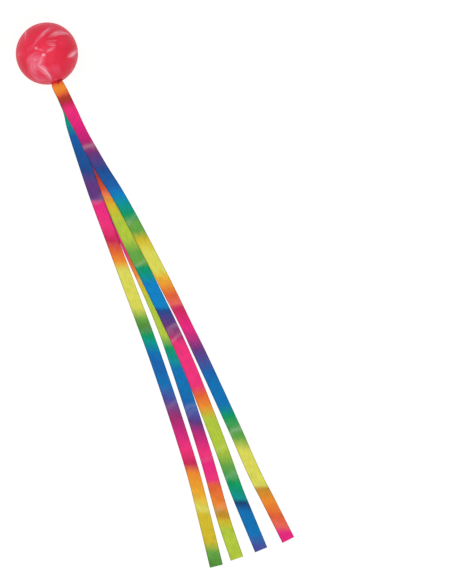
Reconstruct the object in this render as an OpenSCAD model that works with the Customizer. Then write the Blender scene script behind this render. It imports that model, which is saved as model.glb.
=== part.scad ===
// Ribbon ball: a hollow marbled vinyl ball with four satin ribbon tails, lying on a table.
// The soft ball rests on z = 0 over the origin, on a small flat that its own weight presses in it.
// The mouth faces -Y, and the tails run out along -Y.

/* [Ball] */
// Outside diameter of the ball
ball_d = 60; // [50:1:70]
// Thickness of the ball's wall
wall = 3; // [2:0.5:4]
// How far the mouth is turned up from the ball's middle, in degrees
mouth_tilt = 12; // [0:1:20]
// Diameter of the hole that the tails come out of
mouth_d = 9; // [8.5:0.5:10]
// Diameter of the rounded-off lip round the hole
lip_d = 12; // [11:0.5:14]
// How deep the lip is rounded off
lip_depth = 1.2; // [0.8:0.1:1.5]
// Diameter of the flat that the ball's weight presses in it where it rests
rest_flat_d = 4; // [3:0.5:6]

/* [Anchor inside the ball] */
// Diameter of the flat pad behind the hole
pad_d = 18; // [17:0.5:20]
// Outside diameter of the retaining washer
washer_d = 16; // [14:0.5:17]
// Bore of the retaining washer
washer_bore = 6.6; // [6.4:0.1:7]
// Thickness of the retaining washer
washer_t = 1.5; // [1:0.1:2]
// Diameter of the knot behind the washer
knot_d = 13; // [11:0.5:15]
// Outside diameter of the thread whipping
thread_d = 7.8; // [7.4:0.1:8]
// Length of the thread whipping
thread_l = 2.4; // [1.5:0.1:3]

/* [Ribbons] */
// Width of the satin ribbon
ribbon_w = 12.7; // [10:0.1:15]
// Thickness of a tail's solid
ribbon_t = 0.3; // [0.2:0.05:0.35]
// Height from one tail to the next where they lie over each other
layer_pitch = 0.5; // [0.45:0.05:0.55]
// Width of a tail where it leaves the mouth
neck_w = 8; // [6:0.5:8]
// Distance from the mouth at which a tail is back to its full width
spread_l = 16; // [14:1:60]
// Distance along the table from the mouth to the cut ends
tail_reach = 489; // [400:1:600]
// Distance from the mouth at which the tails come down to the table
touchdown = 88; // [80:1:130]
// Width of a ribbon pleated to go through the washer
pleat_w = 5; // [4:0.1:5.1]
// Thickness of a pleated ribbon
pleat_t = 0.8; // [0.6:0.05:0.85]

/* [Hidden] */
$fn = 96;

ball_r = ball_d / 2;
inner_r = ball_r - wall;

// Height of the ball's middle above the table
centre_z = sqrt(ball_r * ball_r - rest_flat_d * rest_flat_d / 4);

// Stations along the mouth's axis, measured from the ball's middle
pad_depth = 2.5;
pad_u = inner_r - pad_depth;
washer_u = pad_u - washer_t;
thread_u = washer_u + washer_t + 0.9;
root_end_u = ball_r - 1.4;
pivot_u = ball_r + 1;

// The point that the tails hinge about, just outside the mouth
pivot_y = -pivot_u * cos(mouth_tilt);
pivot_z = centre_z + pivot_u * sin(mouth_tilt);

// The four tails lie over each other at the mouth, the first one on top
neck_r = 2.2;
tail_start_r = 2.6;
stack_h = 4 * layer_pitch;
stack_bottom = pivot_z - stack_h / 2;
layer_reach = tail_reach * 1.2;
slope_steps = 16;
route_steps = 34;
pleat_gap = 0.1;

// The line that each tail lies along: distance from the mouth, and sideways distance towards +X,
// both for a reach of 489 mm
drawn_reach = 489;
ROUTES = [
    [[0, 0], [45, 4], [92, 11.5], [120, 17.5], [162, 24], [262, 36], [375, 47], [489, 58.5]],
    [[0, 0], [50, 1], [115, -2.5], [200, -2], [285, -2], [390, -5.5], [489, -15]],
    [[0, 0], [45, 3], [100, 10], [165, 12.5], [245, 20.5], [330, 24], [420, 28.5], [489, 30.5]],
    [[0, 0], [45, 3], [105, 6.5], [170, 9.5], [215, 13.5], [273, 15.5], [380, 11.5], [450, 7], [489, 6]]
];

// A curve that leaves 0 and arrives at 1 with no slope
function ease(t) = t <= 0 ? 0 : t >= 1 ? 1 : t * t * (3 - 2 * t);

// A route's slope at its own point i
function route_slope(route, i) =
    let (a = max(i - 1, 0), b = min(i + 1, len(route) - 1))
    (route[b][1] - route[a][1]) / (route[b][0] - route[a][0]);

// Which stretch of a route holds a distance
function stretch(route, along, i = 0) =
    i >= len(route) - 2 || along < route[i + 1][0] ? i : stretch(route, along, i + 1);

// Sideways distance of a route, on a smooth curve through its points
function route_x(route, along) =
    let (
        i = stretch(route, along),
        span = route[i + 1][0] - route[i][0],
        t = (along - route[i][0]) / span,
        t2 = t * t,
        t3 = t2 * t
    )
    route[i][1] * (2 * t3 - 3 * t2 + 1)
    + route_slope(route, i) * span * (t3 - 2 * t2 + t)
    + route[i + 1][1] * (3 * t2 - 2 * t3)
    + route_slope(route, i + 1) * span * (t3 - t2);

// Half of a tail's width at a distance from the mouth
function half_width(along) = (neck_w + (ribbon_w - neck_w) * ease(along / spread_l)) / 2;

// A point on a tail's edge: side is -1 or 1
function edge_point(route, along, side) =
    let (
        k = drawn_reach / tail_reach,
        x = route_x(route, along * k),
        dx = (route_x(route, along * k + 1) - route_x(route, along * k - 1)) / 2 * k,
        n = sqrt(1 + dx * dx)
    )
    [x + side * half_width(along) / n, pivot_y - along + side * half_width(along) * dx / n];

// Height of the underside of layer n above the table, at a distance from the hinge's upright line
function layer_z(n, r) =
    n * layer_pitch + stack_bottom * (1 - ease((r - tail_start_r) / (touchdown - tail_start_r)));

// Places its children with +Z along the mouth's axis, at a distance from the ball's middle
module on_mouth_axis(u) {
    translate([0, 0, centre_z])
        rotate([90 - mouth_tilt, 0, 0])
            translate([0, 0, u])
                children();
}

module ball_shell() {
    color([0.89, 0.2, 0.33])
        difference() {
            union() {
                difference() {
                    translate([0, 0, centre_z])
                        sphere(r = ball_r);
                    translate([0, 0, centre_z])
                        sphere(r = inner_r);
                }
                on_mouth_axis(pad_u)
                    cylinder(d = pad_d, h = pad_depth + wall / 2);
            }
            on_mouth_axis(pad_u - 1)
                cylinder(d = mouth_d, h = ball_r);
            on_mouth_axis(ball_r - lip_depth)
                cylinder(d1 = mouth_d, d2 = lip_d, h = lip_depth);
            translate([-ball_d, -ball_d, -ball_d])
                cube([2 * ball_d, 2 * ball_d, ball_d]);
        }
}

module retaining_washer() {
    color([0.93, 0.92, 0.88])
        on_mouth_axis(washer_u)
            difference() {
                cylinder(d = washer_d, h = washer_t);
                translate([0, 0, -1])
                    cylinder(d = washer_bore, h = washer_t + 2);
            }
}

// The knotted inner ends of all four ribbons, drawn up flat against the washer
module anchor_knot() {
    turn_d = knot_d * 0.38;
    color([0.85, 0.45, 0.2])
        on_mouth_axis(washer_u - knot_d / 2)
            difference() {
                union() {
                    sphere(d = knot_d * 0.86);
                    rotate_extrude()
                        translate([(knot_d - turn_d) / 2, 0])
                            circle(d = turn_d);
                    cylinder(d = knot_d * 0.7, h = knot_d / 2);
                }
                translate([0, 0, knot_d / 2])
                    cylinder(d = 2 * knot_d, h = knot_d);
            }
}

module binding_thread() {
    color([0.8, 0.12, 0.15])
        on_mouth_axis(thread_u)
            difference() {
                cylinder(d = thread_d, h = thread_l);
                translate([0, 0, -1])
                    cylinder(d = washer_bore, h = thread_l + 2);
            }
}

// The pleated length of ribbon n between the knot and the mouth
module ribbon_root(n, shade) {
    lift = (1.5 - n) * (pleat_t + pleat_gap);
    color(shade)
        on_mouth_axis(washer_u)
            translate([-pleat_w / 2, lift - pleat_t / 2, 0])
                cube([pleat_w, pleat_t, root_end_u - washer_u]);
}

// The four ribbons pinched together where they leave the mouth
module gathered_neck() {
    color([0.88, 0.42, 0.2])
        translate([0, pivot_y, pivot_z])
            sphere(r = neck_r);
}

// A sheet round the hinge's upright line that comes down to the table as layer n does,
// so that tails in different layers turn about that line without touching
module layer_sheet(n) {
    step = (touchdown - tail_start_r) / slope_steps;
    slope = [for (i = [0 : slope_steps]) tail_start_r + i * step];
    radii = concat(slope, [layer_reach]);
    under = [for (r = radii) [r, layer_z(n, r)]];
    upper = [for (i = [len(radii) - 1 : -1 : 0]) [radii[i], layer_z(n, radii[i]) + ribbon_t]];
    translate([0, pivot_y, 0])
        rotate_extrude()
            polygon(concat(under, upper));
}

// The outline of a tail as seen from above
module tail_outline(route) {
    step = tail_reach / route_steps;
    right = [for (i = [0 : route_steps]) edge_point(route, i * step, 1)];
    left = [for (i = [route_steps : -1 : 0]) edge_point(route, i * step, -1)];
    polygon(concat(right, left));
}

module tail(number, shade) {
    color(shade)
        intersection() {
            layer_sheet(4 - number);
            linear_extrude(height = ball_d)
                tail_outline(ROUTES[number - 1]);
        }
}

module ribbon_1_root() {
    ribbon_root(0, [0.93, 0.55, 0.2]);
}

module ribbon_2_root() {
    ribbon_root(1, [0.2, 0.55, 0.4]);
}

module ribbon_3_root() {
    ribbon_root(2, [0.1, 0.5, 0.7]);
}

module ribbon_4_root() {
    ribbon_root(3, [0.45, 0.25, 0.55]);
}

module ribbon_1() {
    tail(1, [0.91, 0.2, 0.5]);
}

module ribbon_2() {
    tail(2, [0.15, 0.4, 0.7]);
}

module ribbon_3() {
    tail(3, [0.15, 0.6, 0.4]);
}

module ribbon_4() {
    tail(4, [0.85, 0.75, 0.2]);
}

ball_shell();
retaining_washer();
anchor_knot();
binding_thread();
ribbon_1_root();
ribbon_2_root();
ribbon_3_root();
ribbon_4_root();
gathered_neck();
ribbon_1();
ribbon_2();
ribbon_3();
ribbon_4();
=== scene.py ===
"""A ribbon ball: a marbled vinyl ball with four rainbow-dyed satin ribbons, lying on a pale table.

Every size is in metres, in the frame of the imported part. The ball rests over the origin, its mouth
faces -Y, and the ribbons run out along -Y.
"""

import math
import random

import bpy
import numpy as np
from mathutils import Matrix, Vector, noise


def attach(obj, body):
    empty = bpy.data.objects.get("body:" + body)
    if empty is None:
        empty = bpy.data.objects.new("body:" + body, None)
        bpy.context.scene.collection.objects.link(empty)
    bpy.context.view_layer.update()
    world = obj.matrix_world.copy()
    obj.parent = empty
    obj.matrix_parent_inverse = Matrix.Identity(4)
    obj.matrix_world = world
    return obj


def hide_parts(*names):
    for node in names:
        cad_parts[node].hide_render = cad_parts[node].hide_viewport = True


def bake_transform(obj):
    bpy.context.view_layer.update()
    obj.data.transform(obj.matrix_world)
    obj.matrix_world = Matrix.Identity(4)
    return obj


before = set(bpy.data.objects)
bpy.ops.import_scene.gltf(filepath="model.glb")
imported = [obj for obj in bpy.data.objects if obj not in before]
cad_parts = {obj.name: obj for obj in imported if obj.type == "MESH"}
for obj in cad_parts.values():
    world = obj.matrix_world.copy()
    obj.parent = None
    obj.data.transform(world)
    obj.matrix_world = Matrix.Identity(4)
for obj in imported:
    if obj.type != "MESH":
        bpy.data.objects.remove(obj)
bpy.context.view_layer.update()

# ---------------------------------------------------------------- sizes shared with the part
MM = 0.001
BALL_RADIUS = 30 * MM
WALL = 3 * MM
REST_FLAT_RADIUS = 2 * MM
MOUTH_TILT = math.radians(12)
MOUTH_RADIUS = 4.5 * MM
LIP_RADIUS = 6 * MM
LIP_DEPTH = 1.2 * MM
PAD_RADIUS = 9 * MM
PAD_DEPTH = 2.5 * MM
WASHER_FROM = 23 * MM
PIVOT_FROM_MIDDLE = 31 * MM
LAYER_PITCH = 0.5 * MM
RIBBON_WIDTH = 12.7 * MM
RIBBON_LENGTH = 500 * MM
RIBBON_THICKNESS = 0.2 * MM
TAIL_REACH = 489 * MM
TOUCHDOWN = 88 * MM
SLOPE_FROM = 2.6 * MM
WASHER_RADIUS = 8 * MM
WASHER_BORE_RADIUS = 3.3 * MM
WASHER_THICKNESS = 1.5 * MM
KNOT_AT = 16.5 * MM
WHIPPING_FROM = 25.4 * MM
WHIPPING_LENGTH = 2.4 * MM
WHIPPING_RADIUS = 3.9 * MM
ROOT_END = 28.6 * MM
ROOT_WIDTH = 5 * MM
ROOT_PITCH = 0.9 * MM

# ---------------------------------------------------------------- sizes of the visible shapes alone
BALL_SIDES = 400
BALL_SPACING = 0.45 * MM
LIP_BULGE = 0.45 * MM
WASHER_SIDES = 96
WASHER_EDGE = 0.35 * MM
THREAD_RADIUS = 0.25 * MM
THREAD_TURNS = 4.8
# The knot is a trefoil of this size, of four strands that wind round it
KNOT_SIZE = 1.55 * MM
KNOT_DEPTH = 2.6 * MM
KNOT_SHIFT = 0.6 * MM
STRAND_REACH = 0.85 * MM
STRAND_RADIUS = 0.95 * MM
STRAND_FLATNESS = 0.62
ROOT_FOLDS = 17
ROOT_FOLD_HEIGHT = 0.69 * MM
ROOT_CLOTH = 0.16 * MM
NECK_PLEATS = 13
RIBBON_ROWS = 880
RIBBON_COLUMNS = 15
# Where the ribbons lie, their bunch lifts off the table in two waves, each as (height, length)
WAVES_FROM = 60 * MM
WAVES_FADE_IN = 80 * MM
LONG_WAVE = (0.5 * MM, 117 * MM)
SHORT_WAVE = (0.55 * MM, 74 * MM)
# How far a ribbon's selvages curl down below its middle, and how much more so at the mouth
SELVAGE_CURL = 0.06 * MM
MOUTH_CURL = 0.06 * MM
MOUTH_CURL_LENGTH = 30 * MM
MIDDLE_LIFT = 0.1 * MM
UNEVENNESS = 0.04 * MM
CREASE_HEIGHT = 0.07 * MM
LEAST_GAP = 0.01 * MM

BALL_MIDDLE = Vector((0, 0, math.sqrt(BALL_RADIUS**2 - REST_FLAT_RADIUS**2)))
MOUTH_WAY = Vector((0, -math.cos(MOUTH_TILT), math.sin(MOUTH_TILT)))
PIVOT = BALL_MIDDLE + MOUTH_WAY * PIVOT_FROM_MIDDLE
STACK_BOTTOM = PIVOT.z - 2 * LAYER_PITCH
SIDE_WAY = Vector((1, 0, 0))
UP_WAY = Vector((0, math.sin(MOUTH_TILT), math.cos(MOUTH_TILT)))


def in_mouth(along, aside, up):
    """A point given along the mouth's axis from the ball's middle, then sideways and upward from the axis."""
    return BALL_MIDDLE + MOUTH_WAY * along + SIDE_WAY * aside + UP_WAY * up


def ease(t):
    """A curve that leaves 0 and arrives at 1 with no slope."""
    t = np.clip(t, 0, 1)
    return t * t * (3 - 2 * t)


# ---------------------------------------------------------------- colours
def screen_colour(red, green, blue, gain=1.0):
    """A linear colour from the 0 to 255 values that a screen shows."""
    linear = []
    for level in (red, green, blue):
        share = level / 255
        linear.append(gain * (share / 12.92 if share <= 0.04045 else ((share + 0.055) / 1.055) ** 2.4))
    return (*[min(level, 1.0) for level in linear], 1.0)


DYES_AND_PAINTED_LIGHT = {
    "pink": (236, 46, 118),
    "hot_pink": (228, 34, 122),
    "magenta": (190, 34, 116),
    "plum": (146, 44, 104),
    "purple": (92, 52, 122),
    "violet": (70, 72, 150),
    "navy": (26, 70, 136),
    "blue": (20, 92, 166),
    "azure": (4, 108, 174),
    "cerulean": (0, 124, 192),
    "teal": (0, 140, 140),
    "green": (0, 148, 88),
    "leaf": (96, 160, 66),
    "moss": (72, 132, 50),
    "lime": (172, 196, 58),
    "lemon": (214, 212, 84),
    "gold": (206, 182, 40),
    "amber": (232, 168, 44),
    "orange": (234, 134, 42),
    "red_orange": (222, 92, 50),
    "brick": (170, 52, 40),
    "crimson": (196, 36, 82),
    "salmon": (228, 96, 84),
    # bronze and ink are not dyes but painted shade: dark bands just past folds
    "bronze_fold_shade": (186, 136, 36),
    "navy_fold_shade": (18, 56, 104),
    # The last three reds are painted, not dyes: red reflection of the pink ball and shade in the mouth, for
    # the cloth there
    "painted_reflection_red": (226, 40, 28),
    "painted_shade_crimson": (204, 26, 36),
    "painted_shade_red": (176, 22, 38),
}

# Each ribbon's colour along its length: distance from the mouth in millimetres, and the colour there. Nearly
# all of it is dye; the stops marked below are painted shade.
RIBBON_DYES_AND_SHADE = {
    # Ribbon 1's first stop, red-orange at the mouth, is painted shade where the ribbon goes into the mouth;
    # its orange dye starts at 2.5 mm
    1: [(0, "red_orange"), (2.5, "orange"), (7, "orange"), (11.5, "red_orange"), (15, "brick"),
        (18, "brick"), (22, "crimson"), (27, "pink"), (44, "hot_pink"), (60, "magenta"), (68, "plum"),
        (77, "purple"), (92, "navy"), (112, "blue"), (121, "cerulean"), (131, "teal"), (142, "green"),
        (150, "leaf"), (160, "leaf"), (170, "gold"), (184, "lemon"), (202, "lemon"), (212, "amber"),
        (228, "red_orange"), (238, "salmon"), (241, "crimson"), (262, "hot_pink"), (288, "purple"),
        (310, "blue"), (322, "azure"), (344, "azure"), (358, "green"), (381, "leaf"), (394, "lemon"),
        # The bronze band at 433 mm is painted shade just past a fold
        (430, "lemon"), (433, "bronze_fold_shade"), (448, "orange"), (463, "red_orange"),
        (475, "salmon"), (481, "hot_pink")],
    2: [(0, "leaf"), (28, "green"), (44, "teal"), (54, "blue"), (88, "navy"), (102, "purple"),
        (117, "purple"), (121, "hot_pink"), (146, "pink"), (160, "crimson"), (170, "red_orange"),
        (181, "orange"), (191, "lemon"), (228, "lemon"), (240, "leaf"), (249, "moss"), (258, "green"),
        (267, "teal"), (276, "azure"), (288, "blue"), (306, "azure"), (324, "violet"),
        (340, "plum"), (352, "magenta"), (374, "pink"), (388, "crimson"), (398, "orange"),
        (418, "amber"), (431, "lemon"), (438, "gold"),
        (464, "gold"), (476, "leaf"), (490, "moss")],
    3: [(0, "blue"), (30, "purple"), (58, "hot_pink"), (88, "crimson"), (98, "brick"), (116, "red_orange"),
        (119, "orange"), (130, "gold"), (146, "lime"), (164, "lime"), (178, "leaf"), (190, "leaf"),
        (194, "green"), (205, "teal"), (211, "cerulean"), (236, "cerulean"), (240, "navy"),
        (254, "purple"), (266, "plum"), (276, "pink"), (318, "pink"), (328, "red_orange"), (340, "orange"),
        # The ink band at 440 mm is painted shadow of a fold
        (354, "lime"), (384, "lime"), (402, "leaf"), (420, "green"), (436, "teal"), (440, "navy_fold_shade"),
        (450, "azure"), (472, "azure"), (488, "violet")],
    4: [(0, "gold"), (30, "lime"), (60, "green"), (90, "teal"), (115, "blue"), (140, "purple"),
        (158, "hot_pink"), (178, "pink"), (187, "red_orange"), (200, "orange"), (212, "gold"),
        (228, "lime"), (262, "lime"), (276, "green"), (288, "teal"), (298, "azure"), (320, "azure"),
        (334, "blue"), (344, "violet"), (352, "purple"), (366, "magenta"), (384, "pink"), (394, "hot_pink"),
        # The bronze band at 441 to 446 mm is painted shade just past a fold
        (410, "pink"), (416, "red_orange"), (436, "orange"), (441, "bronze_fold_shade"), (446, "bronze_fold_shade"),
        (450, "gold"), (460, "lime"), (476, "lime"), (490, "lime")],
}

# Cross-creases left by packing: distance from the mouth in millimetres, lean, and strength, which sets the
# ridge's height and the painted highlight along it
RIBBON_CREASES = {
    1: [(68, 0.12, 0.5), (147, -0.3, 0.35), (239, 0.2, 0.1), (372, -0.35, 0.35), (432, 0.15, 0.15)],
    2: [(118.5, 0.05, 0.4), (190, -0.2, 0.12), (252, -0.2, 0.1), (328, -0.2, 0.15), (433, -0.1, 0.3)],
    3: [(117, 0.1, 0.2), (190, -0.2, 0.4), (260, -0.15, 0.35), (268, -0.15, 0.3), (384, -0.2, 0.3),
        (412, -0.2, 0.3)],
    4: [(206, 0.2, 0.3), (337, -0.15, 0.3), (343, -0.15, 0.25), (388, 0.1, 0.12), (438, -0.2, 0.35)],
}

# The line that each ribbon lies along: distance from the mouth, and distance sideways, in millimetres
ROUTES = {
    1: [(-6, 0), (0, -0.5), (12, 0.8), (30, 2.8), (60, 6.3), (71, 7.8), (92, 11.5), (120, 17.5), (162, 24),
        (262, 36.6), (375, 46.5), (397, 47.8), (412, 48.9), (427, 50.4), (443, 52.6), (458, 54.4),
        (489, 58.1)],
    2: [(-6, 0), (0, 0), (14, 0.9), (26, 1.6), (33, 1.1), (43, -0.4), (72, -1.8), (115, -2.9), (150, -2.7),
        (200, -2.4), (285, -2), (390, -5.5), (440, -10.2), (489, -15.6)],
    3: [(-6, 0), (0, 0), (45, 3), (100, 8.6), (130, 9.9), (147, 10.8), (165, 12.3), (178, 13.7), (205, 16.9),
        (245, 21.2), (275, 23.9), (304, 25.8), (335, 26.7), (381, 27.6), (427, 27.6), (458, 28.9),
        (489, 30.3)],
    4: [(-6, 0), (0, 0), (45, 3), (105, 6.5), (170, 9.9), (215, 13.3), (245, 14.9), (273, 15.2), (380, 11.5),
        (450, 6.4), (489, 5.5)],
}

# Each ribbon's width as seen from above: distance from the mouth, and width, in millimetres.
# The lower three start alike.
START_WIDTHS = [(-6, 7.4), (-3.4, 8.0), (-1.5, 9.4), (1.5, 10.8), (8, 11.6), (16, 12.1)]
RIBBON_WIDTHS = {
    1: [(-6, 7.6), (-3.4, 8.4), (-1.5, 10.2), (1.5, 11.8), (6, 12.4), (20, 12.4), (32, 12.0), (52, 10.8),
        (72, 12.0), (100, 12.3), (160, 12.6), (215, 12.4), (262, 11.3), (290, 12.0), (489, 12.6)],
    2: [*START_WIDTHS, (30, 12.2), (250, 12.2), (489, 12.7)],
    3: [*START_WIDTHS, (100, 12.3), (150, 12.8), (210, 12.8), (489, 12.7)],
    4: [*START_WIDTHS, (30, 12.2), (250, 12.2), (489, 12.7)],
}
# How far inside the pivot a ribbon's visible length starts
MOUTH_START = 2.2 * MM
# How far out from the pivot a ribbon would turn fully with its tail: a place in its bend, which nothing uses
BEND_LENGTH = 22 * MM
# How much further along the dye is at a ribbon's left selvage than in its middle, in millimetres
DYE_LEAN = 2.3

# The puckered cloth in the mouth: share of its length, then distance along the mouth's axis, half the
# width and half the height, in millimetres
NECK_STATIONS = [
    (0.0, 28.1, 3.2, 3.0), (0.18, 28.5, 4.2, 4.0), (0.36, 29.0, 4.9, 4.7), (0.52, 29.45, 5.3, 4.5),
    (0.66, 29.85, 5.4, 3.5), (0.78, 30.15, 5.2, 2.2), (0.9, 30.45, 4.8, 1.1), (1.0, 30.8, 4.3, 0.6),
]
# One pleat reaches out over the first ribbon, here round the mouth's axis from its right side
TONGUE_AT = math.radians(84)
TONGUE_SPREAD = 0.26
# Colours from the puckered cloth's left side to its right, and dyes round the knot, as places along a ribbon.
# The cloth's reds are not dyes: painted red reflection of the pink ball, turning to painted shade towards its
# right.
NECK_REFLECTION_AND_SHADE = [(0, "painted_reflection_red"), (200, "painted_reflection_red"), (270, "painted_shade_crimson"), (350, "painted_shade_red"), (500, "painted_shade_red")]
KNOT_DYES = [(0, "orange"), (60, "orange"), (90, "pink"), (130, "red_orange"), (180, "teal"), (240, "blue"),
             (300, "purple"), (380, "gold"), (500, "lime")]


# ---------------------------------------------------------------- mesh and node helpers
def make_mesh(name, points, faces, smooth=True):
    """A new mesh object from its points and faces."""
    mesh = bpy.data.meshes.new(name)
    mesh.from_pydata([tuple(p) for p in points], [], [tuple(f) for f in faces])
    mesh.validate()
    mesh.update()
    if smooth:
        mesh.polygons.foreach_set("use_smooth", [True] * len(mesh.polygons))
    piece = bpy.data.objects.new(name, mesh)
    bpy.context.scene.collection.objects.link(piece)
    return piece


def add_attribute(piece, name, values):
    """One number for each point of the mesh, which its material reads."""
    layer = piece.data.attributes.new(name, "FLOAT", "POINT")
    layer.data.foreach_set("value", np.asarray(values, dtype=np.float32))


def grid_faces(rows, columns, closed_across):
    """Four-sided faces between neighbouring rows of a grid of points."""
    faces = []
    across = columns if closed_across else columns - 1
    for row in range(rows - 1):
        for column in range(across):
            right = (column + 1) % columns
            here = row * columns
            above = here + columns
            faces.append((here + column, here + right, above + right, above + column))
    return faces


def thin_sheet_faces(rows, columns):
    """Faces of a closed thin sheet: a grid of top points, then the same grid of points below it."""
    count = rows * columns
    faces = [tuple(reversed(face)) for face in grid_faces(rows, columns, False)]
    faces += [tuple(count + k for k in reversed(face)) for face in faces]
    for i in range(rows - 1):
        left, left_next = i * columns, (i + 1) * columns
        right, right_next = left + columns - 1, left_next + columns - 1
        faces.append((left, left_next, count + left_next, count + left))
        faces.append((right_next, right, count + right, count + right_next))
    for j in range(columns - 1):
        last = (rows - 1) * columns
        faces.append((j + 1, j, count + j, count + j + 1))
        faces.append((last + j, last + j + 1, count + last + j + 1, count + last + j))
    return faces


def route_at(route, distances):
    """Sideways distance of a route, on a smooth curve through its points, all in millimetres."""
    along = np.array([p[0] for p in route], float)
    aside = np.array([p[1] for p in route], float)
    slopes = np.empty(len(route))
    slopes[1:-1] = (aside[2:] - aside[:-2]) / (along[2:] - along[:-2])
    slopes[0] = (aside[1] - aside[0]) / (along[1] - along[0])
    slopes[-1] = (aside[-1] - aside[-2]) / (along[-1] - along[-2])
    i = np.clip(np.searchsorted(along, distances, side="right") - 1, 0, len(route) - 2)
    span = along[i + 1] - along[i]
    t = (distances - along[i]) / span
    t2 = t * t
    t3 = t * t * t
    value = aside[i] * (2 * t3 - 3 * t2 + 1) + aside[i + 1] * (3 * t2 - 2 * t3)
    return value + slopes[i] * span * (t3 - 2 * t2 + t) + slopes[i + 1] * span * (t3 - t2)


class Nodes:
    """Short calls for building one material's node tree."""

    def __init__(self, name):
        self.material = bpy.data.materials.new(name)
        self.material.use_nodes = True
        self.tree = self.material.node_tree
        self.shader = self.tree.nodes["Principled BSDF"]

    def add(self, kind, **settings):
        node = self.tree.nodes.new("ShaderNode" + kind)
        for key, value in settings.items():
            setattr(node, key, value)
        return node

    def link(self, source, target):
        self.tree.links.new(source, target)

    def set(self, **values):
        for key, value in values.items():
            self.shader.inputs[key.replace("_", " ")].default_value = value

    def attribute(self, name):
        return self.add("Attribute", attribute_name=name).outputs["Fac"]

    def place(self, scale=(1, 1, 1)):
        mapping = self.add("Mapping")
        mapping.inputs["Scale"].default_value = scale
        self.link(self.add("TexCoord").outputs["Object"], mapping.inputs["Vector"])
        return mapping.outputs["Vector"]

    def noise(self, scale, detail=3.0, roughness=0.5, distortion=0.0, stretch=(1, 1, 1), at=None):
        texture = self.add("TexNoise")
        texture.inputs["Scale"].default_value = scale
        texture.inputs["Detail"].default_value = detail
        texture.inputs["Roughness"].default_value = roughness
        texture.inputs["Distortion"].default_value = distortion
        self.link(self.place(stretch) if at is None else at, texture.inputs["Vector"])
        return texture.outputs["Fac"]

    def math(self, operation, first, second=None, third=None):
        node = self.add("Math", operation=operation)
        for socket, value in zip(node.inputs, (first, second, third)):
            if value is None:
                continue
            if isinstance(value, (int, float)):
                socket.default_value = value
            else:
                self.link(value, socket)
        return node.outputs["Value"]

    def spread(self, value, low, high, to_low=0.0, to_high=1.0):
        node = self.add("MapRange")
        node.inputs["From Min"].default_value = low
        node.inputs["From Max"].default_value = high
        node.inputs["To Min"].default_value = to_low
        node.inputs["To Max"].default_value = to_high
        self.link(value, node.inputs["Value"])
        return node.outputs["Result"]

    def ramp(self, value, stops):
        node = self.add("ValToRGB")
        band = node.color_ramp
        band.elements[0].position = stops[0][0]
        band.elements[0].color = stops[0][1]
        band.elements[1].position = stops[-1][0]
        band.elements[1].color = stops[-1][1]
        for position, colour in stops[1:-1]:
            band.elements.new(position).color = colour
        self.link(value, node.inputs["Fac"])
        return node.outputs["Color"]

    def long_ramp(self, value, stops):
        """A ramp of more stops than one node holds: one node for each half."""
        middle = len(stops) // 2
        first = self.ramp(value, stops[: middle + 1])
        second = self.ramp(value, stops[middle:])
        return self.mix(self.math("GREATER_THAN", value, stops[middle][0]), first, second)

    def mix(self, share, first, second, kind="MIX"):
        node = self.add("Mix", data_type="RGBA", blend_type=kind)
        for socket, value in ((node.inputs[0], share), (node.inputs[6], first), (node.inputs[7], second)):
            if isinstance(value, (int, float, tuple)):
                socket.default_value = value
            else:
                self.link(value, socket)
        return node.outputs[2]

    def bump(self, height, strength, distance, before=None):
        node = self.add("Bump")
        node.inputs["Strength"].default_value = strength
        node.inputs["Distance"].default_value = distance
        self.link(height, node.inputs["Height"])
        if before is not None:
            self.link(before, node.inputs["Normal"])
        return node.outputs["Normal"]


def finish_piece(piece, material, body, slot, *nodes, bend=None):
    """Gives a piece its material and its body, and hides the CAD nodes it stands for. The slot is not used.

    A piece with a bend is given no body: its mesh is baked where it stands.
    """
    piece.data.materials.clear()
    piece.data.materials.append(material)
    if bend is None:
        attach(piece, body)
    else:
        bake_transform(piece)
    if nodes:
        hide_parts(*nodes)
    return piece


def spun_mesh(profile, around, closed):
    """A mesh turned round the mouth's axis from a profile of (place along the axis, radius).

    A closed profile makes a ring; any other runs from the ball's pole outside to its pole inside.
    """
    points = []
    for along, radius in profile:
        for i in range(around):
            turn = 2 * math.pi * i / around
            points.append(in_mouth(along, radius * math.cos(turn), radius * math.sin(turn)))
    faces = grid_faces(len(profile), around, True)
    last_row = (len(profile) - 1) * around
    if closed:
        for i in range(around):
            right = (i + 1) % around
            faces.append((last_row + i, last_row + right, right, i))
    else:
        behind = len(points)
        points.append(BALL_MIDDLE - MOUTH_WAY * BALL_RADIUS)
        inside = len(points)
        points.append(BALL_MIDDLE - MOUTH_WAY * (BALL_RADIUS - WALL))
        for i in range(around):
            right = (i + 1) % around
            faces.append((behind, right, i))
            faces.append((inside, last_row + i, last_row + right))
    return points, faces


def tube_rows(centres, radius, sides, closed, flatten=1.0):
    """Rings of points round a line of centres."""
    count = len(centres)
    points = []
    normal = None
    for i, centre in enumerate(centres):
        before = centres[(i - 1) % count] if closed else centres[max(i - 1, 0)]
        after = centres[(i + 1) % count] if closed else centres[min(i + 1, count - 1)]
        way = (after - before).normalized()
        if normal is None:
            normal = way.orthogonal()
        normal = (normal - way * normal.dot(way)).normalized()
        other = way.cross(normal)
        for k in range(sides):
            turn = 2 * math.pi * k / sides
            out = normal * radius * math.cos(turn) + other * radius * flatten * math.sin(turn)
            points.append(centre + out)
    return points


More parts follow.
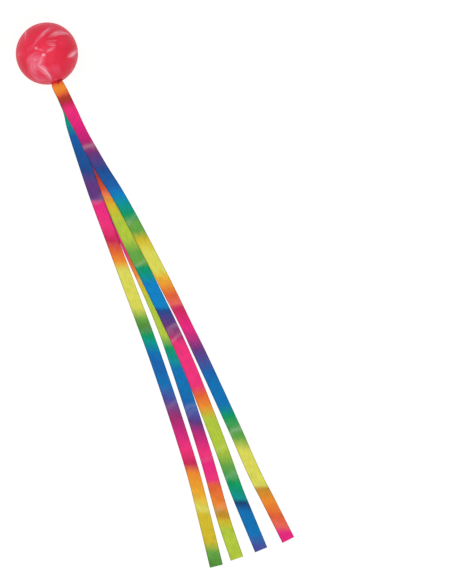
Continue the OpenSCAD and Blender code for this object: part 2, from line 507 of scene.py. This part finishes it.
# ---------------------------------------------------------------- materials
def marbled_vinyl():
    """Soft pink vinyl with pearly swirls: the attribute marble is 0 in the pink and 1 in a swirl."""
    n = Nodes("marbled_vinyl")
    fine = n.noise(260, detail=5, roughness=0.6, distortion=0.4)
    cloudy = n.noise(60, detail=3, roughness=0.5, distortion=0.8)
    swirl = n.attribute("marble")
    frayed = n.math("MULTIPLY", swirl, n.spread(fine, 0.25, 0.7, 0.84, 1.1))
    pink = n.ramp(n.math("ADD", n.attribute("depth"), n.spread(fine, 0.2, 0.8, -0.05, 0.05)), [
        (0.0, screen_colour(206, 30, 54)),
        (0.4, screen_colour(218, 38, 64)),
        (0.75, screen_colour(224, 44, 74)),
        (1.0, screen_colour(224, 62, 98)),
    ])
    pearl = n.ramp(frayed, [
        (0.3, screen_colour(222, 112, 138)),
        (0.7, screen_colour(234, 152, 164)),
        (1.0, screen_colour(242, 178, 184)),
    ])
    n.link(n.mix(n.spread(frayed, 0.04, 0.8, 0.0, 0.9), pink, pearl), n.shader.inputs["Base Color"])
    n.link(n.spread(cloudy, 0.3, 0.7, 0.40, 0.48), n.shader.inputs["Roughness"])
    skin = n.bump(n.noise(1100, detail=2), 0.1, 0.00008)
    n.link(n.bump(cloudy, 0.12, 0.0004, skin), n.shader.inputs["Normal"])
    n.set(Subsurface_Weight=0.08, Subsurface_Scale=0.003, Specular_IOR_Level=0.16)
    n.shader.inputs["Subsurface Radius"].default_value = (1.0, 0.35, 0.3)
    return n.material


# Share of the light that the dyes give back, against their colours as listed
DYE_DEPTH = 0.95


def rainbow_satin(name, stops):
    """Dyed satin, with painted sheen streaks, painted highlights along creases, and darker selvages that are
    partly painted shadow.

    The attribute dye is the place along the ribbon, as a share of its length, across is -1 to 1
    between its selvages, and a third attribute holds the creases' strength there, which paints a pale
    highlight along them.
    """
    n = Nodes(name)
    along = n.attribute("dye")
    across = n.attribute("across")
    lengthwise = n.add("CombineXYZ")
    n.link(n.math("MULTIPLY", across, RIBBON_WIDTH / 2 / MM), lengthwise.inputs["X"])
    n.link(n.math("MULTIPLY", along, RIBBON_LENGTH / MM), lengthwise.inputs["Y"])
    on_cloth = lengthwise.outputs["Vector"]
    streak_place = n.add("Mapping")
    streak_place.inputs["Scale"].default_value = (1.0, 0.16, 1.0)
    n.link(on_cloth, streak_place.inputs["Vector"])
    sheen_streaks = n.noise(0.75, detail=3, roughness=0.55, at=streak_place.outputs["Vector"])
    bleed = n.noise(0.5, detail=3, roughness=0.6, at=on_cloth)
    place = n.math("ADD", along, n.spread(bleed, 0.3, 0.7, -0.0016, 0.0016))
    bands = [(mm * MM / RIBBON_LENGTH, screen_colour(*DYES_AND_PAINTED_LIGHT[dye], gain=DYE_DEPTH)) for mm, dye in stops]
    # The dye along the ribbon; the mixes below add painted sheen, painted highlight and painted shade to it
    dyed = n.long_ramp(place, bands)
    # Painted sheen: lighter and darker streaks along the satin, where its sheen would catch the light or miss
    # it
    dyed = n.mix(n.spread(sheen_streaks, 0.35, 0.75, 0.0, 0.2), dyed, (1.0, 0.96, 0.93, 1), "SOFT_LIGHT")
    dyed = n.mix(n.spread(sheen_streaks, 0.2, 0.5, 0.24, 0.0), dyed, (0.35, 0.3, 0.32, 1), "MULTIPLY")
    patches = n.noise(0.16, detail=2, at=on_cloth)
    dyed = n.mix(n.spread(patches, 0.3, 0.7, 0.16, 0.0), dyed, (0.4, 0.36, 0.38, 1), "MULTIPLY")
    crease_and_highlight = n.attribute("crease_and_highlight")
    # Painted highlight: paler along creases, where their ridges would catch the light
    dyed = n.mix(n.math("MULTIPLY", crease_and_highlight, 0.34), dyed, (0.85, 0.74, 0.76, 1))
    # Darker towards both selvages: partly the woven edge's own tone, partly painted shadow standing in for
    # the thin shadow where one ribbon lies on another
    edge = n.spread(n.math("ABSOLUTE", across), 0.82, 0.97, 0.0, 0.55)
    dyed = n.mix(edge, dyed, (0.45, 0.4, 0.42, 1), "MULTIPLY")
    n.link(dyed, n.shader.inputs["Base Color"])
    weave = n.add("TexWave", wave_type="BANDS", bands_direction="Y")
    weave.inputs["Scale"].default_value = 0.6
    weave.inputs["Distortion"].default_value = 0.8
    n.link(on_cloth, weave.inputs["Vector"])
    floats = n.add("TexWave", wave_type="BANDS", bands_direction="X")
    floats.inputs["Scale"].default_value = 0.9
    floats.inputs["Distortion"].default_value = 1.2
    n.link(on_cloth, floats.inputs["Vector"])
    threads = n.bump(floats.outputs["Fac"], 0.15, 0.00005, n.bump(weave.outputs["Fac"], 0.2, 0.00005))
    n.link(n.bump(sheen_streaks, 0.3, 0.0003, threads), n.shader.inputs["Normal"])
    n.link(n.spread(sheen_streaks, 0.3, 0.7, 0.46, 0.56), n.shader.inputs["Roughness"])
    n.set(Specular_IOR_Level=0.07)
    return n.material


def moulded_nylon():
    """Off-white moulded nylon, faintly mottled."""
    n = Nodes("moulded_nylon")
    mottle = n.ramp(n.noise(300, detail=4), [
        (0.3, screen_colour(226, 222, 208)),
        (0.7, screen_colour(240, 238, 228)),
    ])
    n.link(mottle, n.shader.inputs["Base Color"])
    n.link(n.spread(n.noise(700), 0.2, 0.8, 0.4, 0.55), n.shader.inputs["Roughness"])
    n.link(n.bump(n.noise(1500, detail=2), 0.2, 0.0001), n.shader.inputs["Normal"])
    return n.material


def twisted_thread():
    """Red sewing thread with its twist, painted darker in the twist's grooves and brighter on its crests."""
    n = Nodes("twisted_thread")
    twist = n.add("TexWave", wave_type="BANDS", bands_direction="DIAGONAL")
    twist.inputs["Scale"].default_value = 900
    n.link(n.place(), twist.inputs["Vector"])
    # Painted shade and light: dark red in the twist's grooves, bright red on its crests, the same bands that
    # the bump raises
    red = n.ramp(twist.outputs["Fac"], [
        (0.0, screen_colour(176, 22, 18)),
        (1.0, screen_colour(232, 44, 26)),
    ])
    n.link(red, n.shader.inputs["Base Color"])
    n.link(n.bump(twist.outputs["Fac"], 0.5, 0.0001), n.shader.inputs["Normal"])
    n.link(n.spread(n.noise(800), 0.2, 0.8, 0.55, 0.75), n.shader.inputs["Roughness"])
    n.set(Sheen_Weight=0.3)
    return n.material


def table_top():
    """The plain light table: a milky sheet lit from below, so that shadows stay faint."""
    n = Nodes("table_top")
    grey = n.ramp(n.noise(3, detail=2), [
        (0.0, (0.12, 0.12, 0.12, 1)),
        (1.0, (0.16, 0.16, 0.16, 1)),
    ])
    n.link(grey, n.shader.inputs["Base Color"])
    n.link(n.spread(n.noise(40), 0.2, 0.8, 0.85, 0.95), n.shader.inputs["Roughness"])
    n.set(Specular_IOR_Level=0.1, Emission_Color=(1, 1, 0.99, 1), Emission_Strength=0.88)
    return n.material


# ---------------------------------------------------------------- the ball
# Pearly swirls on the top of the ball, as seen from above: points in millimetres from its middle,
# then half the width in millimetres, and the strength
TOP_SWIRLS = [
    ([(13, 22), (8, 21), (3, 19.5), (-1, 17.6), (-4, 15.2), (-7, 12.6), (-10.5, 10.5)], 1.9, 0.8),
    ([(16, 21), (10, 20.5), (3, 19)], 2.8, 0.5),
    ([(-9, 11.5), (-14, 10), (-18, 8)], 2.6, 0.3),
    ([(7, 14.2), (14, 14.4), (19, 14), (24, 12), (27.4, 9)], 2.6, 0.9),
    ([(16, 17.5), (21, 15.5), (25, 12)], 1.6, 0.6),
    ([(-9.3, 8.6), (-7.8, 7.8), (-6, 6.4)], 1.6, 0.7),
    ([(-7, 7), (-4, 5), (-1.5, 3.4)], 1.0, 0.55),
    ([(-0.5, 1.4), (2, 2.2), (5, 2.6), (9, 3.4)], 1.6, 0.85),
    ([(-5.5, -1.0), (-3.8, -0.2), (-1.5, -0.2)], 1.8, 0.9),
    ([(3, 9), (6, 7.2), (11, 6.5)], 1.0, 0.65),
    ([(4, 6.4), (8, 5.2), (11, 4.6)], 1.0, 0.65),
    ([(4, 10.5), (9, 9), (14, 8)], 1.4, 0.45),
    ([(-3.0, -0.4), (-5.6, -1.8), (-7.0, -4.0), (-9, -5.8), (-11.6, -7.4), (-11, -10), (-9.6, -13),
      (-8.2, -15.8), (-6.8, -19), (-6.2, -22.5), (-6, -26.5)], 4.2, 0.85),
    ([(-6, -0.2), (-13, -0.4), (-18, -3), (-20, -8)], 4.8, 0.72),
    ([(-9, -1), (-15, -5), (-18, -11), (-17, -18)], 6.4, 0.58),
    ([(0, -12), (1, -18), (2, -24)], 5.4, 0.34),
    ([(-21, -13), (-16, -20), (-8, -26)], 5.4, 0.5),
    ([(17.5, -10.4), (22, -9.9), (26, -8.8), (29.5, -7.6)], 3.0, 0.9),
    ([(22, -14), (26, -12)], 2.6, 0.3),
    ([(-25.5, 9), (-26, 6.5)], 1.8, 0.7),
    ([(-3, 28), (4, 28), (10, 26)], 1.6, 0.35),
]
# Swirls elsewhere run roughly this way round the ball
SWIRL_WAY = Vector((0.9, 0.42, 0.1))
MADE_UP_SWIRLS = 30
NOISE_SEED = 5


def curve_through(points):
    """A smooth line through the points, in steps of about one unit."""
    line = []
    padded = [points[0], *points, points[-1]]
    for a, b, c, d in zip(padded, padded[1:], padded[2:], padded[3:]):
        steps = max(2, int((Vector(c) - Vector(b)).length))
        for i in range(steps):
            t = i / steps
            place = []
            for before, here, after, later in zip(a, b, c, d):
                bend = (2 * before - 5 * here + 4 * after - later) * t * t
                bend += (3 * here - before - 3 * after + later) * t**3
                place.append(here + 0.5 * ((after - before) * t + bend))
            line.append(place)
    line.append(list(points[-1]))
    return line


def swirl_lines():
    """Every swirl as 3-D points on the sphere, in millimetres: drawn ones on top, made-up ones elsewhere."""
    lines = []
    radius = BALL_RADIUS / MM
    for points, half_width, strength in TOP_SWIRLS:
        lifted = []
        for x, y in curve_through(points):
            height = math.sqrt(max(radius**2 - x * x - y * y, 9.0))
            lifted.append(Vector((x, y, height)).normalized() * radius)
        lines.append((lifted, half_width, strength))
    chance = random.Random(11)
    for _ in range(MADE_UP_SWIRLS):
        spot = Vector((chance.gauss(0, 1), chance.gauss(0, 1), -abs(chance.gauss(0.15, 0.55)))).normalized()
        way = SWIRL_WAY + Vector((chance.gauss(0, 0.3), chance.gauss(0, 0.3), chance.gauss(0, 0.5)))
        points = []
        bend = chance.gauss(0, 0.035)
        for _ in range(chance.randint(12, 34)):
            points.append(spot * radius)
            way = (way - spot * way.dot(spot)).normalized()
            way = (way + spot.cross(way) * (bend + chance.gauss(0, 0.05))).normalized()
            spot = (spot + way / radius).normalized()
        lines.append((points, chance.uniform(0.7, 2.8), chance.uniform(0.3, 0.85)))
    return lines


def swirl_strength(points):
    """How pearly and how cloudy the vinyl is at points given in millimetres from the ball's middle."""
    # Without a seed, noise_vector starts from the clock and every run's swirls differ
    noise.seed_set(NOISE_SEED)
    warped = np.empty_like(points)
    clouds = np.empty(len(points))
    for i, p in enumerate(points):
        at = Vector(p)
        warped[i] = at + noise.noise_vector(at * 0.09) * 1.3 + noise.noise_vector(at * 0.35) * 0.35
        clouds[i] = noise.fractal(at * 0.09, 0.9, 2.0, 3)
    found = np.zeros(len(points))
    for number, (line, half_width, strength) in enumerate(swirl_lines()):
        spots = np.array(line)
        ways = np.gradient(spots, axis=0)
        ways /= np.linalg.norm(ways, axis=1)[:, None]
        sides = np.cross(ways, spots / np.linalg.norm(spots, axis=1)[:, None])
        reach = 3.2 * half_width
        low, high = spots.min(0) - reach, spots.max(0) + reach
        near = np.flatnonzero(((warped > low) & (warped < high)).all(1))
        for chunk in np.array_split(near, max(1, len(near) // 4000)):
            if not len(chunk):
                continue
            gaps = warped[chunk][:, None, :] - spots[None, :, :]
            nearest = np.einsum("ijk,ijk->ij", gaps, gaps).argmin(1)
            gap = gaps[np.arange(len(chunk)), nearest]
            aside = np.einsum("ij,ij->i", gap, sides[nearest])
            ahead = nearest + np.einsum("ij,ij->i", gap, ways[nearest])
            share = np.clip(ahead / max(len(spots) - 1, 1), 0, 1)
            taper = np.sin(np.pi * np.clip(0.06 + 0.88 * share, 0, 1)) ** 0.7
            past_end = np.maximum(np.maximum(-ahead, ahead - (len(spots) - 1)), 0)
            fibres = np.empty(len(chunk))
            for k, (a, b) in enumerate(zip(ahead, aside)):
                at = Vector((a * 0.09, b * 1.7 / half_width, number * 7.3))
                fibres[k] = noise.noise(at) + 0.5 * noise.noise(at * 2.3)
            width = half_width * (0.45 + 0.55 * taper)
            body = np.exp(-((np.hypot(aside, past_end) / width) ** 2))
            value = strength * taper * body * np.clip(0.86 + 0.6 * fibres, 0.15, 1.4)
            found[chunk] = np.maximum(found[chunk], value)
    return np.clip(found, 0, 1), clouds


def ball_profile():
    """The ball's wall as (distance along the mouth's axis, radius), from its far pole outside, round the
    lip and the pad, to its far pole inside.
    """
    lip_at = math.sqrt(BALL_RADIUS**2 - LIP_RADIUS**2)
    lip_turn = math.asin(LIP_RADIUS / BALL_RADIUS)
    steps = int((math.pi - lip_turn) * BALL_RADIUS / BALL_SPACING)
    profile = []
    for i in range(1, steps + 1):
        turn = math.pi - (math.pi - lip_turn) * i / steps
        profile.append((BALL_RADIUS * math.cos(turn), BALL_RADIUS * math.sin(turn)))
    bore_end = lip_at - LIP_DEPTH
    for i in range(1, 7):
        share = i / 6
        bulge = LIP_BULGE * math.sin(math.pi * share)
        radius = LIP_RADIUS + (MOUTH_RADIUS - LIP_RADIUS) * share
        profile.append((lip_at - LIP_DEPTH * share + bulge * 0.6, radius - bulge * 0.5))
    inner = BALL_RADIUS - WALL
    pad_from = inner - PAD_DEPTH
    for i in range(1, 7):
        profile.append((bore_end + (pad_from - bore_end) * i / 6, MOUTH_RADIUS))
    profile.append((pad_from, PAD_RADIUS))
    inner_turn = math.asin(PAD_RADIUS / inner)
    inside_steps = 60
    for i in range(inside_steps):
        turn = inner_turn + (math.pi - inner_turn) * i / inside_steps
        profile.append((inner * math.cos(turn), inner * math.sin(turn)))
    return profile


def build_ball():
    """The hollow marbled ball, with a rounded lip round its mouth and a small flat where it rests."""
    points, faces = spun_mesh(ball_profile(), BALL_SIDES, False)
    for point in points:
        point.z = max(point.z, 0.0)
    ball = make_mesh("marbled_ball", points, faces)
    outside = np.array([tuple((p - BALL_MIDDLE) / MM) for p in points])
    marble, clouds = swirl_strength(outside)
    add_attribute(ball, "marble", marble)
    add_attribute(ball, "depth", np.clip(0.5 + 0.4 * clouds, 0, 1))
    return finish_piece(ball, marbled_vinyl(), "ball", "marbled_vinyl", "ball_shell")


# ---------------------------------------------------------------- the anchor inside the ball
def build_washer():
    """The moulded washer behind the mouth, with rounded edges."""
    edge = WASHER_EDGE
    washer_to = WASHER_FROM + WASHER_THICKNESS
    corners = [
        (WASHER_FROM + edge, WASHER_RADIUS - edge, 0),
        (washer_to - edge, WASHER_RADIUS - edge, 1),
        (washer_to - edge, WASHER_BORE_RADIUS + edge, 2),
        (WASHER_FROM + edge, WASHER_BORE_RADIUS + edge, 3),
    ]
    profile = []
    for along, radius, quarter in corners:
        for i in range(6):
            turn = math.pi - (quarter + i / 5) * math.pi / 2
            profile.append((along + edge * math.cos(turn), radius + edge * math.sin(turn)))
    points, faces = spun_mesh(profile, WASHER_SIDES, True)
    washer = make_mesh("nylon_washer", points, faces)
    return finish_piece(washer, moulded_nylon(), "ball", "nylon", "retaining_washer")


def build_whipping():
    """The turns of thread that bind the ribbons together just inside the mouth."""
    steps = 480
    centres = []
    for i in range(steps + 1):
        turn = 2 * math.pi * THREAD_TURNS * i / steps
        reach = WHIPPING_RADIUS - THREAD_RADIUS
        along = WHIPPING_FROM + THREAD_RADIUS + (WHIPPING_LENGTH - 2 * THREAD_RADIUS) * i / steps
        centres.append(in_mouth(along, reach * math.cos(turn), reach * math.sin(turn)))
    sides = 10
    points = tube_rows(centres, THREAD_RADIUS, sides, False)
    faces = [tuple(reversed(face)) for face in grid_faces(len(centres), sides, True)]
    faces.append(tuple(range(sides)))
    faces.append(tuple(reversed(range(len(points) - sides, len(points)))))
    thread = make_mesh("thread_whipping", points, faces)
    return finish_piece(thread, twisted_thread(), "ball", "sewing_thread", "binding_thread")


def build_knot():
    """The four ribbons' inner ends, twisted together and tied in one knot that the washer holds."""
    steps = 220
    sides = 10
    points = []
    faces = []
    dyes = []
    for strand in range(4):
        centres = []
        for i in range(steps):
            t = 2 * math.pi * i / steps
            twist = 3 * t + strand * math.pi / 2
            reach = KNOT_SIZE * (math.sin(t) + 2 * math.sin(2 * t))
            rise = KNOT_SIZE * (math.cos(t) - 2 * math.cos(2 * t))
            along = KNOT_AT + KNOT_SHIFT - KNOT_DEPTH * math.sin(3 * t) + STRAND_REACH * math.sin(twist)
            way = math.atan2(rise, reach)
            out = STRAND_REACH * math.cos(twist)
            centres.append(in_mouth(along, reach + out * math.cos(way), rise + out * math.sin(way)))
        base = len(points)
        ring = tube_rows(centres, STRAND_RADIUS, sides, True, flatten=STRAND_FLATNESS)
        points += ring
        faces += [tuple(base + k for k in reversed(face)) for face in grid_faces(steps, sides, True)]
        last = base + (steps - 1) * sides
        shift = min(range(sides), key=lambda k: (ring[k] - ring[(steps - 1) * sides]).length)
        for k in range(sides):
            right = (k + 1) % sides
            faces.append((last + right, last + k, base + (k + shift) % sides, base + (right + shift) % sides))
        for i in range(steps):
            dyes += [0.08 + 0.22 * strand + 0.05 * math.sin(4 * math.pi * i / steps)] * sides
    knot = make_mesh("ribbon_knot", points, faces)
    add_attribute(knot, "dye", dyes)
    across = [0.8 * math.cos(2 * math.pi * (i % sides) / sides) for i in range(len(points))]
    add_attribute(knot, "across", across)
    material = rainbow_satin("knotted_satin", KNOT_DYES)
    return finish_piece(knot, material, "ball", "rainbow_satin", "anchor_knot")


def build_root(number):
    """A ribbon's pleated length between the knot and the mouth: narrow folds side by side."""
    per_fold = 3
    columns = ROOT_FOLDS * per_fold + 1
    rows = 14
    lift = (2.5 - number) * ROOT_PITCH
    top = []
    under = []
    for i in range(rows):
        along = KNOT_AT + (ROOT_END - KNOT_AT) * i / (rows - 1)
        for j in range(columns):
            aside = ROOT_WIDTH * (j / (columns - 1) - 0.5)
            zig = abs((j / per_fold) % 2 - 1) - 0.5
            lean = 0.05 * MM * math.sin(0.9 * i + 0.4 * j + number)
            height = lift + zig * ROOT_FOLD_HEIGHT
            top.append(in_mouth(along, aside + lean, height + ROOT_CLOTH / 2))
            under.append(in_mouth(along, aside + lean, height - ROOT_CLOTH / 2))
    faces = thin_sheet_faces(rows, columns)
    root = make_mesh(f"pleated_root_{number}", top + under, faces)
    dye = [0.02 * (k // columns) / rows for k in range(rows * columns)]
    add_attribute(root, "dye", dye * 2)
    across = [0.8 * (2 * (k % columns) / (columns - 1) - 1) for k in range(rows * columns)]
    add_attribute(root, "across", across * 2)
    material = rainbow_satin(f"pleated_satin_{number}", RIBBON_DYES_AND_SHADE[number])
    finish_piece(root, material, "ball", "rainbow_satin", f"ribbon_{number}_root")
    return root


def build_neck_folds():
    """The puckered cloth that fills the mouth round the ribbons' start, in painted red: reflection of the
    pink ball and shade of the mouth.
    """
    sides = 132
    rows = 26
    lines = [[(station[0], station[k]) for station in NECK_STATIONS] for k in (1, 2, 3)]
    points = []
    dyes = []
    for i in range(rows):
        share = i / (rows - 1)
        along, half_width, half_height = (route_at(line, np.array([share]))[0] for line in lines)
        deep = 0.16 * math.sin(math.pi * min(1.0, 0.25 + 0.75 * share))
        for k in range(sides):
            turn = 2 * math.pi * k / sides
            wobble = 0.5 * math.sin(3 * turn + 1.0) + 0.35 * math.sin(5 * turn + 2.2 + 1.5 * share)
            pleat = math.sin(NECK_PLEATS * turn + wobble * 2 + 0.8 * share)
            swell = 1 + deep * (abs(pleat) ** 0.7 * math.copysign(1, pleat) - 0.35)
            tongue = share**2 * math.exp(-(((turn - TONGUE_AT) / TONGUE_SPREAD) ** 2))
            aside = half_width * swell * math.cos(turn)
            up = half_height * swell * math.sin(turn) + 1.7 * tongue
            points.append(in_mouth((along + 1.5 * tongue) * MM, aside * MM, up * MM))
            # Painted reflection and shade: bright red on the cloth's left, dark red on its right, and darker
            # red in the pleats' hollows
            dyes.append(0.5 + 0.42 * math.cos(turn) - 0.10 * pleat)
    faces = grid_faces(rows, sides, True)
    faces.append(tuple(reversed(range(sides))))
    faces.append(tuple(range((rows - 1) * sides, rows * sides)))
    folds = make_mesh("neck_folds", points, faces)
    add_attribute(folds, "dye", dyes)
    add_attribute(folds, "across", [0.0] * len(points))
    # The cloth's colours are painted reflection of the ball and painted shade of the mouth
    material = rainbow_satin("neck_satin_reflection_and_shade", NECK_REFLECTION_AND_SHADE)
    bend = ("neck", (0, PIVOT.y + 3 * MM, PIVOT.z), (0, PIVOT.y + 0.5 * MM, PIVOT.z))
    return finish_piece(folds, material, "ball", "rainbow_satin", "gathered_neck", bend=bend)


# ---------------------------------------------------------------- the ribbons
def shared_height(out):
    """The height that all ribbons share at a distance from the upright line through the pivot, to stay in
    layers.
    """
    drop = STACK_BOTTOM * (1 - ease((out - SLOPE_FROM) / (TOUCHDOWN - SLOPE_FROM)))
    lying = ease((out - WAVES_FROM) / WAVES_FADE_IN)
    height, length = SHORT_WAVE
    wave = height * (1 - np.cos(out * 2 * math.pi / length + 0.6)) * 0.5
    height, length = LONG_WAVE
    wave = wave + height * (1 - np.cos(out * 2 * math.pi / length)) * 0.5
    return drop + lying * wave


def build_ribbon(number):
    """One satin ribbon from inside the mouth to its cut end."""
    layer = 4 - number
    rows = RIBBON_ROWS
    columns = RIBBON_COLUMNS
    half_mm = RIBBON_WIDTH / MM / 2
    along = -MOUTH_START + (TAIL_REACH + MOUTH_START) * np.linspace(0, 1, rows)
    across = np.linspace(-1, 1, columns)
    aside = route_at(ROUTES[number], along / MM) * MM
    slope = np.gradient(aside, along)
    lean = np.sqrt(1 + slope * slope)
    width = route_at(RIBBON_WIDTHS[number], along / MM) * MM
    chance = random.Random(20 + number)
    seed = Vector((chance.uniform(0, 50), chance.uniform(0, 50), number * 9.0))
    rough = np.empty((rows, columns))
    bleed = np.empty((rows, columns))
    for i in range(rows):
        for j in range(columns):
            at = Vector((along[i] / MM, across[j] * half_mm, 0)) + seed
            rough[i, j] = noise.noise(at * 0.11)
            bleed[i, j] = noise.noise(at * 0.06) * 1.4 + noise.noise(at * 0.25) * 0.7
    wander = np.array([noise.noise(Vector((a / MM / 42, number * 3.7, 0.5))) for a in along])
    dye_lean = (-DYE_LEAN + 2 * wander) * ease(along / (60 * MM))
    x = aside[:, None] + across[None, :] * (width / 2 / lean)[:, None]
    y = PIVOT.y - along[:, None] + across[None, :] * (width / 2 * slope / lean)[:, None]
    out = np.hypot(x, y - PIVOT.y)
    z = layer * LAYER_PITCH + shared_height(out)
    z = z + np.minimum(along, 0)[:, None] * math.tan(MOUTH_TILT)
    curl = SELVAGE_CURL + MOUTH_CURL * np.exp(-np.maximum(along, 0) / MOUTH_CURL_LENGTH)
    z = z + MIDDLE_LIFT - curl[:, None] * across[None, :] ** 2
    z = z + rough * UNEVENNESS
    # The creases' strength raises low ridges and, through the material, paints pale highlights along them
    crease_and_highlight = np.zeros((rows, columns))
    for at, tilt, strength in RIBBON_CREASES[number]:
        line = at + tilt * across[None, :] * half_mm
        gap = (along[:, None] / MM - line + rough * 4.0) / 2.8
        crease_and_highlight = np.maximum(crease_and_highlight, strength * np.exp(-gap * gap) * (0.75 + 0.35 * bleed))
    crease_and_highlight = np.clip(crease_and_highlight, 0, 1)
    z = z + crease_and_highlight * CREASE_HEIGHT
    z = np.maximum(z, layer * LAYER_PITCH + LEAST_GAP)
    dye = (along[:, None] / MM + bleed + dye_lean[:, None] * across[None, :]) * MM / RIBBON_LENGTH
    top = np.stack([x, y, z + RIBBON_THICKNESS], axis=2).reshape(-1, 3)
    under = np.stack([x, y, z], axis=2).reshape(-1, 3)
    ribbon = make_mesh(f"satin_ribbon_{number}", np.vstack([top, under]), thin_sheet_faces(rows, columns))
    full_across = np.ones((rows, 1)) * across[None, :]
    for name, values in (("dye", dye), ("crease_and_highlight", crease_and_highlight), ("across", full_across)):
        add_attribute(ribbon, name, np.tile(values.reshape(-1), 2))
    bend = (f"tail_{number}", tuple(PIVOT), (0, PIVOT.y - BEND_LENGTH, PIVOT.z))
    material = rainbow_satin(f"rainbow_satin_{number}", RIBBON_DYES_AND_SHADE[number])
    finish_piece(ribbon, material, "neck", "rainbow_satin", f"ribbon_{number}", bend=bend)
    return ribbon


# ---------------------------------------------------------------- the table, lights and camera
SKY_STRENGTH = 0.78
TABLE_HALF_SIZE = 4
# The table's top is a hair below the part, so that the two don't share a plane
TABLE_DROP = 0.2 * MM
LIGHT_TARGET = Vector((0.05, -0.25, 0))


def build_stage():
    """The table and a pale sky."""
    half = TABLE_HALF_SIZE
    corners = [(-half, -half, 0), (half, -half, 0), (half, half, 0), (-half, half, 0)]
    floor = make_mesh("table", corners, [(0, 1, 2, 3)], smooth=False)
    floor.location.z = -TABLE_DROP
    floor.data.materials.append(table_top())
    world = bpy.data.worlds.new("pale_room")
    world.use_nodes = True
    tree = world.node_tree
    background = tree.nodes["Background"]
    place = tree.nodes.new("ShaderNodeTexCoord")
    split = tree.nodes.new("ShaderNodeSeparateXYZ")
    sky = tree.nodes.new("ShaderNodeValToRGB")
    sky.color_ramp.elements[0].position = 0.1
    sky.color_ramp.elements[0].color = (0.55, 0.55, 0.55, 1)
    sky.color_ramp.elements[1].position = 0.8
    sky.color_ramp.elements[1].color = (1, 1, 1, 1)
    tree.links.new(place.outputs["Generated"], split.inputs["Vector"])
    tree.links.new(split.outputs["Z"], sky.inputs["Fac"])
    tree.links.new(sky.outputs["Color"], background.inputs["Color"])
    background.inputs["Strength"].default_value = SKY_STRENGTH
    bpy.context.scene.world = world


def add_light(name, lean, turn, distance, size, power):
    """A square soft light that faces the middle of the part, leaning from overhead towards one side.

    The lean and the turn are in degrees.
    """
    lean = math.radians(lean)
    turn = math.radians(turn)
    data = bpy.data.lights.new(name, "AREA")
    data.shape = "SQUARE"
    data.size = size
    data.energy = power
    light = bpy.data.objects.new(name, data)
    way = Vector((math.sin(lean) * math.cos(turn), math.sin(lean) * math.sin(turn), math.cos(lean)))
    light.location = LIGHT_TARGET + way * distance
    light.rotation_euler = (-way).to_track_quat("-Z", "Y").to_euler()
    bpy.context.scene.collection.objects.link(light)


VIEW_TURN = math.radians(-20)
CAMERA_PLACE = (0.0834, -0.2744)
CAMERA_HEIGHT = 20.0
FRAME_HEIGHT = 0.5624


def build_camera():
    """A distant camera straight above, turned so that the ribbons run down and to the right."""
    data = bpy.data.cameras.new("camera")
    data.lens = data.sensor_width * CAMERA_HEIGHT / FRAME_HEIGHT
    data.clip_end = 50
    camera = bpy.data.objects.new("camera", data)
    camera.location = (*CAMERA_PLACE, CAMERA_HEIGHT)
    camera.rotation_euler = (0, 0, VIEW_TURN)
    bpy.context.scene.collection.objects.link(camera)
    bpy.context.scene.camera = camera


build_camera()
build_stage()
add_light("overhead_light", lean=18, turn=110, distance=3.2, size=1.0, power=22)
add_light("opposite_light", lean=20, turn=-70, distance=3.2, size=1.0, power=18)
add_light("side_light", lean=46, turn=175, distance=3.0, size=1.0, power=8)
bpy.context.scene.view_settings.view_transform = "Standard"

build_ball()
build_washer()
build_whipping()
build_knot()
build_neck_folds()
for ribbon_number in (1, 2, 3, 4):
    build_root(ribbon_number)
    build_ribbon(ribbon_number)
